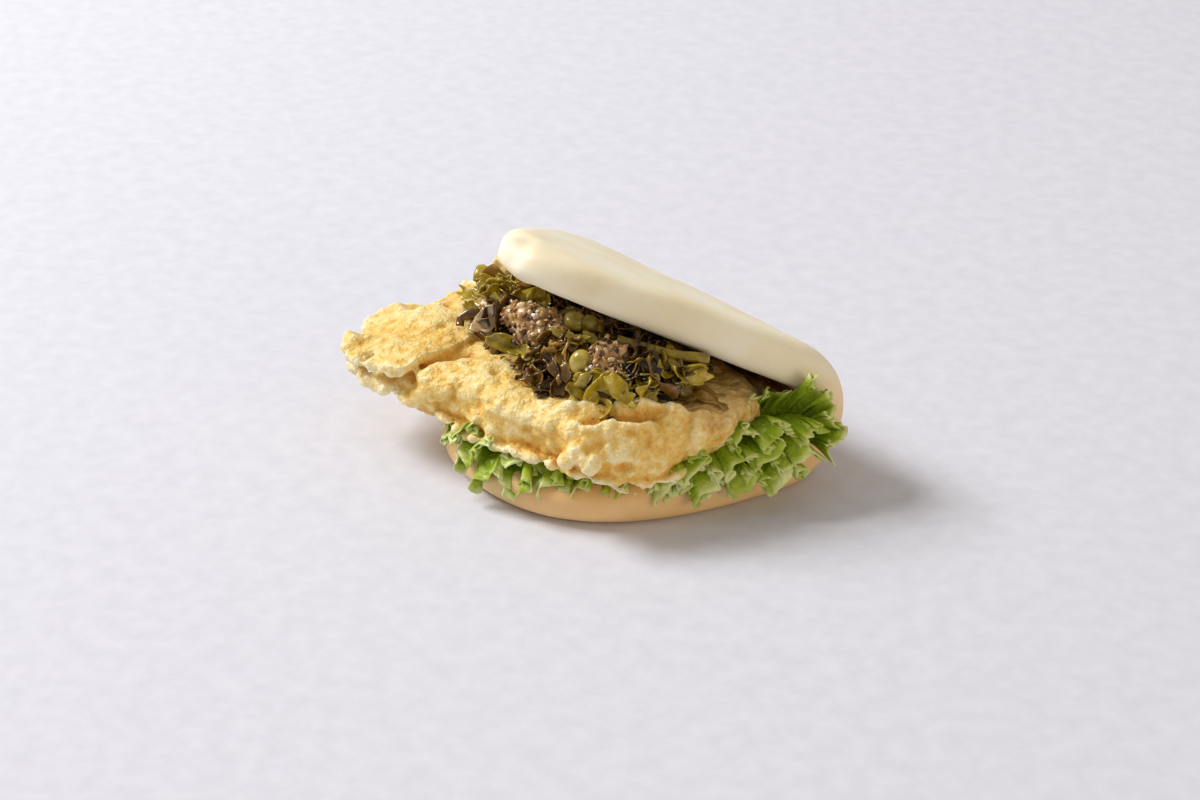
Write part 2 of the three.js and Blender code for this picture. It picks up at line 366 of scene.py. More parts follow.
def sheet_field(height, thickness, outline):
    """The distance field of a thin sheet at a height, inside an outline."""
    return np.maximum(np.abs(Z - height[..., None]) - thickness / 2, outline[..., None])


def along_path(path):
    """Distance from a path on the table plane, and the share of the way along it."""
    path = np.asarray(path, float)
    nearest, share_of_way = np.full(from_middle.shape, 1e9), np.zeros(from_middle.shape)
    for i, (start, end) in enumerate(zip(path[:-1], path[1:])):
        step = end - start
        t = np.clip(((flat[..., :2] - start) @ step) / (step @ step), 0, 1)
        gap = np.linalg.norm(flat[..., :2] - start - t[..., None] * step, axis=-1)
        closer = gap < nearest
        nearest = np.where(closer, gap, nearest)
        share_of_way = np.where(closer, (i + t) / (len(path) - 1), share_of_way)
    return nearest, share_of_way


fx, fy = flat[..., 0], flat[..., 1]
wing = smoothstep(-fx - 0.35 * (fy - fillet_middle[1]), 36, 62)
hanging = hump(fx, fy, 49, -38, 15, 7)


def ridge(path, height, width, rise, fall, stop):
    """A ridge along a path. It rises over a first share of the way and falls over another, up to stop."""
    gap, way = along_path(path)
    return height * np.exp(-((gap / width) ** 2)) * smoothstep(way, 0, rise) * smoothstep(stop - way, 0, fall)


crest = ridge(
    [(16, -50), (22, -46.5), (26.6, -41), (31, -35.3), (37.7, -28), (44, -21), (47, -15)],
    3.4 + 1.4 * cloud(flat, 3.4, 21), 2.3, 0.15, 0.35, 1.1,
)
lip = ridge(
    [(21, -54), (27, -51), (32, -45), (37, -38.5), (43, -31), (49, -24)],
    1.9 + 0.8 * cloud(flat, 4.0, 22), 2.6, 0.2, 0.3, 1.05,
)
fold_gap = along_path([(-31, -59), (-28, -50), (-25, -44)])[0]
top = (
    fillet_top - 0.9
    - 5 * smoothstep(fy, -12, 14)
    + hump(fx, fy, 22, -44, 11, 1.2) + hump(fx, fy, 37, -26, 9, 0.8) + hump(fx, fy, -46, -36, 13, 3.2)
    + crest + lip
    - 2.8 * np.exp(-((fold_gap / 2.0) ** 2))
    - hanging * smoothstep(past_rim, -13, 0)
    - 4.0 * wing * smoothstep(past_rim, -18, 0)
    + ragged(31, (14, 0.9), (6, 0.6), (3, 0.25))
)
bottom = fillet_floor + 0.5 - 0.5 * hanging * smoothstep(past_rim, -16, 0) + ragged(41, (9, 0.4), (4, 0.3))

# the body of the fillet: a slab with a round edge, which stops short of the wing
body_rim = past_rim + 2.6 + 9.0 * wing * smoothstep(-fy, 20, 46) + ragged(51, (11, 1.1), (5, 0.4))
edge_radius = 5.5
inwards = body_rim[..., None] + edge_radius
upwards = np.maximum(Z - top[..., None], bottom[..., None] - Z) + edge_radius
batter = np.minimum(np.maximum(inwards, upwards), 0)
batter = batter + np.hypot(np.maximum(inwards, 0), np.maximum(upwards, 0)) - edge_radius

# the wing: two thin curling flaps, one above the other
ripple = 1.3 * np.sin(fy / 3.4 + 0.7)
upper_flap = (
    fillet_top - 1.6 - 4.5 * wing * smoothstep(past_rim, -20, 1) + ripple * wing + ragged(61, (7, 0.7), (3, 0.4))
)
upper_rim = np.maximum(past_rim + 0.4 + ragged(65, (8, 1.5), (4, 1.2), (2, 0.3)), fx + 30)
lower_flap = 21.5 + 1.1 * np.sin(fx / 4.0) + ragged(71, (7, 0.7), (3, 0.4)) - 1.5 * smoothstep(past_rim, -8, 1)
lower_rim = np.maximum(past_rim + 1.2 + ragged(75, (7, 1.8), (3.5, 1.2), (2, 0.3)), np.maximum(fx + 26, fy + 40))
batter = smooth_union(batter, sheet_field(upper_flap, 3.0, upper_rim), 2.2)
batter = smooth_union(batter, sheet_field(lower_flap, 2.2, lower_rim), 1.6)

# a thin frill of crust along the front's foot, and a skirt below the hanging corner
frill_height = 17.4 - 0.45 * hanging + ragged(81, (9, 1.3), (4, 0.6))
frill_rim = np.maximum(past_rim + 0.5 + ragged(85, (9, 1.6), (4, 0.9)), np.maximum(fy + 20, -fx - 20))
batter = smooth_union(batter, sheet_field(frill_height, 1.2, frill_rim), 1.2)

# a curled crust that stands behind the greens, at the back left
curl_gap, curl_way = along_path([(-60, -14), (-52, -18.5), (-44, -21), (-36, -19.5), (-27, -15), (-17, -12)])
curl_height = np.interp(curl_way, [0, 0.2, 0.4, 0.55, 0.8, 1], [27, 35, 44, 47, 46, 42])
curl_height = curl_height + ragged(91, (5, 1.6), (2.5, 0.7))
standing = np.maximum(curl_gap[..., None] - 1.6, np.maximum(Z - curl_height[..., None], 26 - Z))
batter = smooth_union(batter, standing, 3.0)


def ellipsoid(centre, radii, turned=0.0):
    """The distance field of an ellipsoid whose first axis is turned on the table plane."""
    dx, dy, dz = X - centre[0], Y - centre[1], Z - centre[2]
    c, s = math.cos(turned), math.sin(turned)
    lengthwise, crosswise = c * dx + s * dy, c * dy - s * dx
    far = np.sqrt((lengthwise / radii[0]) ** 2 + (crosswise / radii[1]) ** 2 + (dz / radii[2]) ** 2)
    return (far - 1) * min(radii)


# lumps of batter: a bulge at the left of the front, bubbles at the foot, and lobes down the right side
across_view = math.atan2(view_right[1], view_right[0])
for centre, radii, turned in [
    ((-24, -58.5, 23.5), (6.5, 3.6, 4.8), 0.2),
    ((30.5, -52.5, 24.6), (2.7, 2.4, 2.5), 0.0), ((35.0, -50.6, 22.4), (2.5, 2.6, 2.6), 0.0),
    ((27.2, -53.6, 21.2), (2.2, 2.0, 2.0), 0.0),
    ((44.5, -20.5, 23.5), (3.0, 4.4, 7.0), 0.4), ((45.5, -12.0, 22.0), (2.6, 4.4, 6.0), 0.0),
]:
    batter = smooth_union(batter, ellipsoid(centre, radii, turned), 2.4)
# hollows: the mouth between the two flaps, lens-shaped holes in the crest, and a scoop above the skirt
for centre, radii, turned in [
    ((-48, -61, 25.2), (9.5, 8.0, 2.7), 0.1), ((-36, -61, 25.6), (6.0, 6.0, 2.0), 0.2),
    ((28.9, -46.4, 33.0), (3.4, 2.0, 2.8), across_view + 0.1),
    ((36.6, -34.4, 32.8), (7.8, 2.0, 2.8), across_view + 0.1),
    ((42.5, -45.5, 20.6), (5.6, 4.6, 2.6), across_view),
    ((22.5, -53.5, 26.5), (2.6, 2.2, 2.4), 0.0), ((-14, -61.0, 21.5), (6.5, 3.0, 2.2), 0.0),
]:
    batter = smooth_cut(batter, ellipsoid(centre, radii, turned), 1.2)

# room for the dough: the fold's inside and the underside of the upper lobe
fold_axis_z, fold_hollow = dough_thickness / 2 + fold_radius - flat_spot, 8.3
lobe_root_y, lobe_root_z, lobe_slope = 11.4, 28.2, 0.63
inside_fold = np.hypot(Y - lobe_start, Z - fold_axis_z) - fold_hollow
under_lobe = np.maximum(Y - lobe_root_y, Z - lobe_root_z - (lobe_root_y - Y) * lobe_slope)
batter = np.maximum(batter, np.minimum(inside_fold, under_lobe))

# the batter's surface is lumpy in every direction
near_surface = np.argwhere(np.abs(batter) < 2.2)
places = near_surface * batter_step + low
uneven = 0.75 * cloud(places, 7.0, 95) + 0.45 * cloud(places, 3.6, 96) + 0.2 * cloud(places, 1.9, 97)
uneven = uneven * (smoothstep(places[:, 0], 52, 36) + 0.6 * smoothstep(places[:, 0], -25, -50))
batter[tuple(near_surface.T)] += uneven


def skin_of(field, low, step):
    """The surface where a field is zero, as quads: one point in each cell that it crosses."""
    inside = field < 0
    shape = np.array(field.shape) - 1
    corners = (inside[tuple(slice(a, n + a) for a, n in zip(c, shape))] for c in np.ndindex(2, 2, 2))
    count = sum(corner.astype(np.uint8) for corner in corners)
    crossed = (count > 0) & (count < 8)
    number = np.full(crossed.shape, -1, np.int64)
    number[crossed] = np.arange(crossed.sum())
    cells = np.argwhere(crossed)
    total, hits = np.zeros(cells.shape), np.zeros(len(cells))
    for axis in range(3):
        unit = np.eye(3, dtype=int)[axis]
        for c in np.ndindex(2, 2, 2):
            if c[axis]:
                continue
            start, end = cells + c, cells + c + unit
            a, b = field[tuple(start.T)], field[tuple(end.T)]
            crossing = (a < 0) != (b < 0)
            t = np.where(crossing, a / np.where(crossing, a - b, 1), 0)
            total[crossing] += (np.array(c) + t[:, None] * unit)[crossing]
            hits += crossing
    points = (cells + total / hits[:, None]) * step + low
    quads = []
    for axis in range(3):
        unit, u, v = (np.eye(3, dtype=int)[(axis + k) % 3] for k in (0, 1, 2))
        ends = tuple(slice(unit[k], None) for k in range(3))
        starts = tuple(slice(0, -1 if unit[k] else None) for k in range(3))
        changes = inside[starts] != inside[ends]
        spots = np.argwhere(changes)
        sides = [(axis + 1) % 3, (axis + 2) % 3]
        spots = spots[np.all((spots[:, sides] > 0) & (spots[:, sides] < shape[sides]), axis=1)]
        ring = np.stack([number[tuple((spots - d).T)] for d in (0 * u, u, u + v, v)], axis=1)
        outwards = inside[tuple(spots.T)]
        quads.append(np.where(outwards[:, None], ring, ring[:, ::-1]))
    return points, np.concatenate(quads)


def box_blur(field, reach):
    """The mean of a field over a box of cells round each cell."""
    for axis in range(3):
        padded = np.concatenate([np.zeros_like(field.take([0], axis)), np.cumsum(field, axis=axis)], axis=axis)
        size = field.shape[axis]
        upper = np.minimum(np.arange(size) + reach + 1, size)
        lower = np.maximum(np.arange(size) - reach, 0)
        width = (upper - lower).reshape([-1 if k == axis else 1 for k in range(3)])
        field = (padded.take(upper, axis) - padded.take(lower, axis)) / width
    return field


# blisters: small bubbles of batter stand out all over, and others have burst and left pits
points, quads = skin_of(batter, low, batter_step)
dice = np.random.default_rng(7)


def away_from(centre, x, y, z):
    return np.sqrt((x - centre[0]) ** 2 + (y - centre[1]) ** 2 + (z - centre[2]) ** 2)


def blister(centre, radius, blend, sign):
    """Joins a small ball onto the batter (sign 1) or takes one out (sign -1), near its centre only."""
    first = np.maximum(((centre - radius - 2 - low) / batter_step).astype(int), 0)
    last = np.minimum(((centre + radius + 2 - low) / batter_step).astype(int) + 1, batter.shape)
    if np.any(last - first < 2):
        return
    window = tuple(slice(a, b) for a, b in zip(first, last))
    ball = away_from(centre, X[window[0]], Y[:, window[1]], Z[:, :, window[2]]) - radius
    join = smooth_union if sign > 0 else smooth_cut
    batter[window] = join(batter[window], ball, blend)


def skin_normals(points, quads):
    """The outward direction at each point."""
    corners = points[quads]
    of_face = np.cross(corners[:, 2] - corners[:, 0], corners[:, 3] - corners[:, 1])
    normals = np.zeros_like(points)
    for k in range(4):
        np.add.at(normals, quads[:, k], of_face)
    return normals / (np.linalg.norm(normals, axis=1, keepdims=True) + 1e-9)


normals = skin_normals(points, quads)
spread = points[:, :2] - fillet_middle
rim_here = closed_curve(fillet_radii, np.arctan2(spread[:, 1], spread[:, 0]))
inside_rim = rim_here - np.hypot(spread[:, 0], spread[:, 1])
chance = 0.3 + np.exp(-((np.maximum(0, inside_rim) / 7) ** 2)) - 0.25 * smoothstep(points[:, 0], 30, 46)
for pick in dice.choice(len(points), 700, p=chance / chance.sum()):
    radius = dice.uniform(0.6, 1.6)
    blister(points[pick] - normals[pick] * radius * dice.uniform(0.5, 0.85), radius, 0.9, 1)
for pick in dice.choice(len(points), 170, p=chance / chance.sum()):
    radius = dice.uniform(0.8, 2.0)
    blister(points[pick] + normals[pick] * radius * dice.uniform(0.6, 0.95), radius, 1.2, -1)
batter[:, :, 0] = batter[:, :, -1] = 1

# where two parts would meet only along an edge, the batter is filled in, so that its skin stays one closed surface
for axes_of_square in ((0, 1), (0, 2), (1, 2)) * 3:
    square = {}
    for c in np.ndindex(2, 2):
        starts = [0, 0, 0]
        starts[axes_of_square[0]], starts[axes_of_square[1]] = c
        square[c] = batter[tuple(slice(a, batter.shape[k] - (k in axes_of_square) + a) for k, a in enumerate(starts))]
    for a, b, c, d in (((0, 0), (1, 1), (0, 1), (1, 0)), ((0, 1), (1, 0), (0, 0), (1, 1))):
        touching = (square[a] < 0) & (square[b] < 0) & (square[c] >= 0) & (square[d] >= 0)
        square[c][touching] = -0.03
points, quads = skin_of(batter, low, batter_step)

# how enclosed each point is, for painted shade and highlight: hollows are painted amber as shade and warm bounce,
# edges and bubbles are painted pale as highlights
solid_share = box_blur(box_blur((batter < 0).astype(np.float32), 2), 2)
cell = np.clip((points - low) / batter_step, 0, np.array(batter.shape) - 1.001)
first, part = cell.astype(int), cell % 1
enclosed = sum(
    solid_share[tuple((first + c).T)] * np.prod(np.where(c, part, 1 - part), axis=1) for c in np.ndindex(2, 2, 2)
)
# lower down, the batter is painted darker still: painted shade towards its foot
enclosed += 0.1 * smoothstep(points[:, 2], 22, 16)
normals = skin_normals(points, quads)
sandy = 0.24 * cloud(points, 1.15, 101) + 0.14 * cloud(points, 2.2, 102)
points = points + normals * (sandy * (0.45 + 0.55 * smoothstep(points[:, 0], -56, -36)))[:, None]

# the greens' oil has soaked the batter round the heap
under_heap = np.hypot((points[:, 0] + 4) / 40, (points[:, 1] + 16) / 24)
right_of_heap = np.hypot((points[:, 0] - 40) / 12, (points[:, 1] + 9) / 15)
soaked = smoothstep(np.minimum(under_heap, right_of_heap), 1.08, 0.8) * smoothstep(points[:, 2], 22, 28)
soaked = soaked * (0.3 + 0.7 * smoothstep(points[:, 0], 8, 28))

# frying batter: a crisp pale shell with bubbles of about 1 mm. It is painted golden where it is thick and amber in its
# hollows, as painted shade and warm bounce, and pale on its edges, as painted highlight
material, tree, shader, place = new_material(
    "fried_batter", Roughness=0.42, IOR=1.45, Specular_IOR_Level=0.45,
    Subsurface_Weight=0.15, Subsurface_Scale=0.0015, Subsurface_Radius=(1.0, 0.6, 0.25),
)
depth = add(tree, "ShaderNodeAttribute", attribute_name="enclosed").outputs["Fac"]
spots = add(tree, "ShaderNodeTexNoise", {
    "Vector": place, "Scale": 520.0, "Detail": 4.0, "Roughness": 0.7,
}).outputs["Fac"]
blotches = add(tree, "ShaderNodeTexNoise", {"Vector": place, "Scale": 75.0, "Detail": 2.0}).outputs["Fac"]
uneven = add(tree, "ShaderNodeMath", {0: spots, 1: 1.25, 2: blotches}, operation="MULTIPLY_ADD").outputs[0]
froth = add(tree, "ShaderNodeTexVoronoi", {"Vector": place, "Scale": 850.0}).outputs["Distance"]
domes = add(tree, "ShaderNodeMath", {0: froth, 1: froth}, operation="MULTIPLY").outputs[0]
mottled = add(tree, "ShaderNodeMath", {0: uneven, 1: 0.4, 2: depth}, operation="MULTIPLY_ADD").outputs[0]
# the froth's cells are painted a little darker towards their rims: painted shade between the bubbles
shifted = add(tree, "ShaderNodeMath", {0: domes, 1: 0.05, 2: mottled}, operation="MULTIPLY_ADD").outputs[0]
crust = ramp(tree, shifted, [
    (0.76, "#fef1c4"), (0.87, "#fae29e"), (0.98, "#f1cc72"), (1.09, "#e6b450"), (1.22, "#d4963a"),
])
damp = add(tree, "ShaderNodeAttribute", attribute_name="soaked").outputs["Fac"]
wet_crust = ramp(tree, shifted, [(0.72, "#f3dba4"), (0.96, "#e3bf78"), (1.18, "#b78842")])
tint = add(tree, "ShaderNodeMix", {0: damp, 6: crust, 7: wet_crust}, data_type="RGBA").outputs[2]
gloss = add(tree, "ShaderNodeMapRange", {"Value": damp, "To Min": 0.36, "To Max": 0.2}).outputs["Result"]
grains = add(tree, "ShaderNodeTexNoise", {"Vector": place, "Scale": 1500.0, "Detail": 3.0}).outputs["Fac"]
relief = add(tree, "ShaderNodeMath", {0: domes, 1: -0.6, 2: grains}, operation="MULTIPLY_ADD").outputs[0]
bump = add(tree, "ShaderNodeBump", {"Height": relief, "Strength": 0.85, "Distance": 0.0005}).outputs["Normal"]
feed(tree, shader, {"Base Color": tint, "Roughness": gloss, "Normal": bump})

fillet = make_piece("battered_fillet", points, quads, material, enclosed=enclosed, soaked=soaked)
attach(fillet, "root")
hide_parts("fillet")

# --------------------------------------------------
# Lettuce: one frilly leaf under the fillet. The blade is pressed flat; its free edge has far more length than
# the blade, so it buckles into folds, which carry smaller folds and end in fine teeth.
# --------------------------------------------------


def through_points(control, count):
    """A smooth curve through points in space, at equal steps of its parameter."""
    control = np.asarray(control, float)
    padded = np.concatenate([[2 * control[0] - control[1]], control, [2 * control[-1] - control[-2]]])
    place = np.linspace(0, len(control) - 1, count)
    i = np.minimum(place.astype(int), len(control) - 2)
    return between(*(padded[i + k] for k in range(4)), (place - i)[:, None])


def sheet_normals(sheet):
    across = np.gradient(sheet, axis=1)
    normals = np.cross(np.gradient(sheet, axis=0), across)
    return normals / (np.linalg.norm(normals, axis=-1, keepdims=True) + 1e-9)


def thick_sheet(sheet, thickness):
    """A closed skin on both sides of a sheet of points (rows, columns, 3): its points and faces."""
    half = sheet_normals(sheet) * np.broadcast_to(thickness, sheet.shape[:2])[..., None] / 2
    rows, columns = sheet.shape[:2]
    count = rows * columns
    i = np.arange(count).reshape(rows, columns)
    front = np.stack([i[:-1, :-1], i[1:, :-1], i[1:, 1:], i[:-1, 1:]], axis=-1).reshape(-1, 4)
    ring = np.concatenate([i[0, :-1], i[:-1, -1], i[-1, :0:-1], i[:0:-1, 0]])
    after = np.roll(ring, -1)
    edge = np.stack([ring, after, after + count, ring + count], axis=-1)
    points = np.concatenate([(sheet + half).reshape(-1, 3), (sheet - half).reshape(-1, 3)])
    return points, np.concatenate([front, front[:, ::-1] + count, edge])


def join_parts(parts):
    """Parts (points, faces, values by name) as one."""
    start, faces = 0, []
    for points, quads, _ in parts:
        faces.append(quads + start)
        start += len(points)
    values = {name: np.concatenate([part[2][name] for part in parts]) for name in parts[0][2]}
    return np.concatenate([part[0] for part in parts]), np.concatenate(faces), values


def frilly_edge(inner, outer, folds, seed, columns=290, rows=18, arch=2.5):
    """A strip of leaf from an inner line out to a free edge, with folds (count, height) that grow to the edge."""
    dice = np.random.default_rng(seed)
    u, v = np.linspace(0, 1, columns)[:, None], np.linspace(0, 1, rows)[None]
    start, end = through_points(inner, columns)[:, None], through_points(outer, columns)[:, None]
    sheet = start + (end - start) * v[..., None]
    sheet = sheet + np.array([0, 0, 1]) * (4 * arch * v * (1 - v))[..., None]
    length = np.linalg.norm(np.diff(end[:, 0], axis=0), axis=1).sum()
    along = np.gradient(end[:, 0], axis=0)
    along = (along / np.linalg.norm(along, axis=1, keepdims=True))[:, None]
    outward = (end - start) / np.linalg.norm(end - start, axis=-1, keepdims=True)
    lift = np.cross(along, outward)
    lift = lift * np.where(lift[..., 2:] < 0, -1, 1)
    on_line = np.concatenate([u * length, 0 * u, 0 * u], axis=1)
    drift = cloud(on_line, 9.0, seed) * 1.6
    for level, (count, height) in enumerate(folds):
        phase = 2 * math.pi * count * (u + 0.4 * drift[:, None] / length) + dice.uniform(0, 6.28) + 1.4 * level * v
        size = 0.72 + 0.45 * cloud(on_line + [0, 7 * level, 0], 5.0, seed + 3)[:, None]
        growth = height * size * v ** (0.9 + 1.1 * level)
        sheet = sheet + lift * (growth * np.sin(phase))[..., None]
        sheet = sheet + along * (0.75 * growth * np.sin(2 * phase))[..., None]
        sheet = sheet + outward * (0.45 * growth * np.cos(phase + 0.8))[..., None]
    saw = np.abs((u * length / 3.1 + 0.9 * drift[:, None]) % 1 - 0.5) * 2
    fine_saw = np.abs((u * length / 1.3) % 1 - 0.5) * 2
    sheet = sheet + outward * ((1.9 * saw + 0.5 * fine_saw - 0.9) * v**6)[..., None]
    points, faces = thick_sheet(sheet, 0.55 - 0.25 * v)
    # the share out to the free edge: the leaf is paler at its rim and painted darker inward, as painted shade in its
    # folds
    share = np.broadcast_to(v, sheet.shape[:2]).ravel()
    return points, faces, {"to_edge": np.concatenate([share, share])}


leaf_parts = [
    # at the left of the front, hanging over the lower lobe
    frilly_edge(
        [(-24, -42, 14.2), (-12, -47, 14.4), (0, -47, 14.2), (12, -44, 14)],
        [(-21, -57, 16), (-12, -61.5, 14), (-3, -62, 11.5), (6, -61, 9.5), (15, -58, 8), (21, -53, 10)],
        [(5, 4.4), (13, 2.3), (31, 1.0)], 11,
    ),
    frilly_edge(
        [(-18, -44, 15), (-4, -47, 15), (8, -45, 15), (18, -40, 15)],
        [(-17, -58, 17), (-7, -59.5, 17), (2, -58.5, 16), (11, -55.5, 14.5), (19, -51, 13), (26, -46, 12)],
        [(5, 3.0), (14, 2.2), (31, 0.9)], 12,
    ),
    # under the hanging corner, short and in its shade
    frilly_edge(
        [(14, -40, 14), (24, -33, 14), (32, -25, 14), (38, -17, 14)],
        [(19, -54, 11), (28, -48.5, 9.5), (36.5, -40, 9), (43, -31.5, 10), (48, -24, 11)],
        [(5, 2.8), (14, 2.0), (30, 0.8)], 13,
    ),
    # at the right of the front: three frills, one above the other
    frilly_edge(
        [(30, -28, 14.5), (36, -20, 14.5), (40, -10, 15), (42, 0, 16)],
        [(43, -32, 12), (49.5, -24, 11.5), (54.5, -15, 11), (58.5, -6, 11), (62, 2, 12)],
        [(4, 4.0), (12, 2.7), (29, 1.1)], 14,
    ),
    frilly_edge(
        [(34, -22, 16), (38, -14, 17), (41, -4, 18), (42, 4, 19)],
        [(46, -28, 16), (51, -18, 16.5), (55, -9, 17), (59, 0, 16.5), (62.5, 8, 16)],
        [(4, 4.0), (12, 2.7), (29, 1.1)], 15,
    ),
    frilly_edge(
        [(38, -16, 18), (42, -9, 19.5), (44, -2, 20.5), (46, 5, 21)],
        [(45, -21, 20.5), (49, -13, 22), (53, -5, 22), (57.5, 3, 21.5), (61.5, 11, 21)],
        [(3.5, 4.0), (11, 2.6), (28, 1.1)], 17,
    ),
    # the end of the leaf, which stands up against the fold, and a curl at its inner side
    frilly_edge(
        [(43, -1, 19), (47, 4, 19), (50, 8, 18), (52, 11, 15)],
        [(44, 7, 26), (49, 10, 28), (54.5, 12.5, 34), (58, 16, 27), (62, 16, 20), (63.5, 12, 14)],
        [(4, 2.6), (12, 2.1), (28, 1.0)], 16, arch=1.0,
    ),
    frilly_edge(
        [(39, -6, 19), (41, -1, 20), (42, 3, 20), (43, 6, 20)],
        [(41, -4, 25.5), (43.5, 1, 27.5), (44, 6, 28), (46, 10, 26.5)],
        [(2.5, 2.2), (8, 1.7), (18, 0.7)], 18, arch=0.8,
    ),
]

# the pressed blade between the dough and the fillet
turn, reach = np.meshgrid(np.linspace(0, 2 * math.pi, 91), np.linspace(0.02, 1, 16), indexing="ij")
blade_rim = closed_curve([40, 46, 34, 29, 32, 36, 36, 36, 36, 35, 29, 33], turn)
blade_x, blade_y = 8 + reach * blade_rim * np.cos(turn), -18 + reach * blade_rim * np.sin(turn)
blade = np.stack([blade_x, blade_y, np.full(turn.shape, 13.9)], axis=-1)
blade[..., 2] += 0.35 * cloud(blade, 6.0, 17)
blade_points, blade_faces = thick_sheet(blade[::-1], 0.6)
# the blade takes the darkest inner green, which is painted shade
leaf_parts.append((blade_points, blade_faces, {"to_edge": np.full(len(blade_points), 0.1)}))

# fresh lettuce: a waxy cuticle over translucent green, paler at the frilled edge, with a net of fine veins; it is
# painted darker towards the blade, as painted shade deep in the folds
material, tree, shader, place = new_material(
    "fresh_lettuce_leaf", Roughness=0.28, IOR=1.4, Specular_IOR_Level=0.2,
    Subsurface_Weight=0.1, Subsurface_Scale=0.0012, Subsurface_Radius=(1.0, 1.0, 0.25),
)
to_edge = add(tree, "ShaderNodeAttribute", attribute_name="to_edge").outputs["Fac"]
patches = add(tree, "ShaderNodeTexNoise", {"Vector": place, "Scale": 130.0, "Detail": 3.0}).outputs["Fac"]
shifted = add(tree, "ShaderNodeMath", {0: patches, 1: 0.5, 2: to_edge}, operation="MULTIPLY_ADD").outputs[0]
green = ramp(tree, shifted, [
    (0.35, "#506606"), (0.85, "#6c860c"), (1.05, "#8aa41c"), (1.17, "#aec048"), (1.27, "#dfe8a2"),
])
veins = add(tree, "ShaderNodeTexVoronoi", {"Vector": place, "Scale": 420.0}, feature="DISTANCE_TO_EDGE")
bump = add(tree, "ShaderNodeBump", {"Height": veins.outputs["Distance"], "Strength": 0.8, "Distance": 0.0008})
feed(tree, shader, {"Base Color": green, "Normal": bump.outputs["Normal"]})

points, faces, values = join_parts(leaf_parts)
lettuce = make_piece("frilly_lettuce", points, faces, material, **values)
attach(lettuce, "root")
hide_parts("lettuce")

# --------------------------------------------------
# Greens: a heap of chopped pickled mustard greens, stir-fried with mince. A dark core carries leaf shreds, stem
# pieces, two clumps of mince and a few round beads. Everything is wet with sauce and oil.
# --------------------------------------------------
heap_middle = np.array([-3.0, -20.0])
heap_radii = [43, 34, 24, 21, 28, 44, 49, 33, 23, 22, 28.5, 37]
heap_low, heap_rise, heap_ceiling = 27.8, 15.0, 47.0


def heap_height(x, y, sunk=0.0):
    """How high the heap is over a spot on the table plane."""
    dx, dy = x - heap_middle[0], y - heap_middle[1]
    share = np.clip(np.hypot(dx, dy) / (closed_curve(heap_radii, np.arctan2(dy, dx)) - sunk), 0, 1)
    place = np.stack([x, y, 0 * x], axis=-1)
    lumps = 1.3 * cloud(place, 6.0, 201) + 0.7 * cloud(place, 2.8, 202)
    return heap_low + (heap_rise - sunk) * (1 - share**7) + lumps * (1 - share**4)


def under_the_lobe(points, gap=0.4):
    """Points pressed down where they would reach into the dough above."""
    ceiling = np.minimum(lobe_root_z + (lobe_root_y - points[..., 1]) * lobe_slope - gap, heap_ceiling)
    pressed = points.copy()
    pressed[..., 2] = np.minimum(points[..., 2], ceiling)
    return pressed


# the core, dark with sauce
turn, reach = np.meshgrid(np.linspace(0, 2 * math.pi, 160, endpoint=False), np.linspace(0, 1, 44)[1:], indexing="ij")
rim = closed_curve(heap_radii, turn) - 6.5
core_x, core_y = heap_middle[0] + reach * rim * np.cos(turn), heap_middle[1] + reach * rim * np.sin(turn)
core_rim_z = 29.6
roof = np.stack([core_x, core_y, heap_height(core_x, core_y, 5.0) - 0.6], axis=-1)
roof[..., 2] = np.where(reach == 1, core_rim_z, roof[..., 2])
core_floor = np.stack([core_x, core_y, core_rim_z - 1.6 * (1 - reach**4)], axis=-1)[:, ::-1]
core_rows = np.concatenate([roof, core_floor[:, 1:]], axis=1)
turns, steps = core_rows.shape[:2]
i = np.arange(turns * steps).reshape(turns, steps)
next_i = np.roll(i, -1, axis=0)
core_quads = np.stack([i[:, :-1], i[:, 1:], next_i[:, 1:], next_i[:, :-1]], axis=-1).reshape(-1, 4)
poles = np.array([[*heap_middle, roof[:, 0, 2].mean()], [*heap_middle, core_floor[:, -1, 2].mean()]])
core_points = under_the_lobe(np.concatenate([core_rows.reshape(-1, 3), poles]))
top_pole, low_pole = turns * steps, turns * steps + 1
core_faces = [*core_quads, *((top_pole, a, b) for a, b in zip(i[:, 0], next_i[:, 0]))]
core_faces += [(low_pole, b, a) for a, b in zip(i[:, -1], next_i[:, -1])]


def wet_food(name, stops, roughness, depth, scale, glow=0.2):
    """Sauce-wet food: its colour runs through stops with a shade on each point and a fine unevenness."""
    material, tree, shader, place = new_material(
        name, Roughness=roughness, IOR=1.45, Coat_Weight=0.6, Coat_Roughness=0.12,
        Subsurface_Weight=glow, Subsurface_Scale=0.0012, Subsurface_Radius=(1.0, 0.8, 0.3),
    )
    shade = add(tree, "ShaderNodeAttribute", attribute_name="shade").outputs["Fac"]
    fibres = add(tree, "ShaderNodeTexNoise", {"Vector": place, "Scale": scale, "Detail": 4.0}).outputs["Fac"]
    shifted = add(tree, "ShaderNodeMath", {0: fibres, 1: 0.5, 2: shade}, operation="MULTIPLY_ADD").outputs[0]
    bump = add(tree, "ShaderNodeBump", {"Height": fibres, "Strength": 0.6, "Distance": depth})
    feed(tree, shader, {"Base Color": ramp(tree, shifted, stops), "Normal": bump.outputs["Normal"]})
    return material


# the sauce that collects under the scraps: almost black, with dull brown lumps
sauce = wet_food("sauce_dark_greens", [(0.2, "#1a0e04"), (0.6, "#38220a"), (0.9, "#5c3f14")], 0.5, 0.0008, 500.0)
core_shade = 0.25 + 0.25 * cloud(core_points, 4.0, 203)
core = make_piece("greens_core", core_points, core_faces, sauce, shade=core_shade)
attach(core, "root")
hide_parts("greens")


